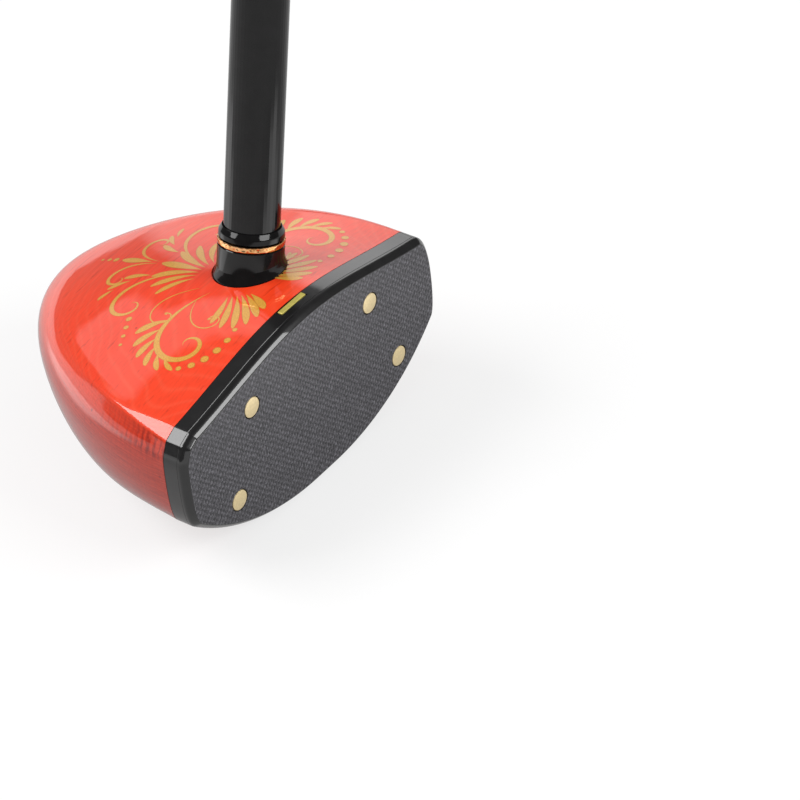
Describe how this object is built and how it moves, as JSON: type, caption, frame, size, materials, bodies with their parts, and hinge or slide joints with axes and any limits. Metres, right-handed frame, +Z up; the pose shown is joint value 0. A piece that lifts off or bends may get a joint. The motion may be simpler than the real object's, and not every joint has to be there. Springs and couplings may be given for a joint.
{
  "type": "park golf club",
  "caption": "Straight-shafted mallet club with a lofted hardwood head, laminated woven striking face, ferrule, tubular shaft and rubber grip.",
  "frame": {"origin": "on the flat landing of the sole, in the lengthwise middle of the face, 27.8 mm behind it and about 4 mm towards the heel from the point where the shaft's axis meets the ground", "axes": "+Z up from the sole, -Y out of the striking face, +X from toe to heel"},
  "size_m": [0.2966, 0.1001, 0.809],
  "materials": {
    "wood": "dyed maple under thick clear lacquer, high gloss",
    "black_lacquer": "black fibre layer, high gloss",
    "woven_face": "woven fibre laminate, satin",
    "brass": "ground flush, satin",
    "ferrule_resin": "black resin, polished",
    "gold_trim": "gold trim ring, lightly dimpled",
    "shaft_lacquer": "carbon fibre tube under black gloss lacquer",
    "tape": "thin grip tape",
    "grip_rubber": "moulded black rubber, matte",
    "cap_rubber": "red moulded cap, satin"
  },
  "bodies": {
    "root": {"head_body": "wood", "face_backing": "black_lacquer", "face_plate": "woven_face", "face_pin_upper_toe": "brass", "face_pin_upper_heel": "brass", "face_pin_lower_toe": "brass", "face_pin_lower_heel": "brass", "sight_mark": "brass", "ferrule_sleeve": "ferrule_resin", "ferrule_ring": "gold_trim", "ferrule_collar": "ferrule_resin", "shaft": "shaft_lacquer", "grip_tape": "tape", "grip": "grip_rubber", "grip_cap": "cap_rubber"}
  },
  "joints": []
}
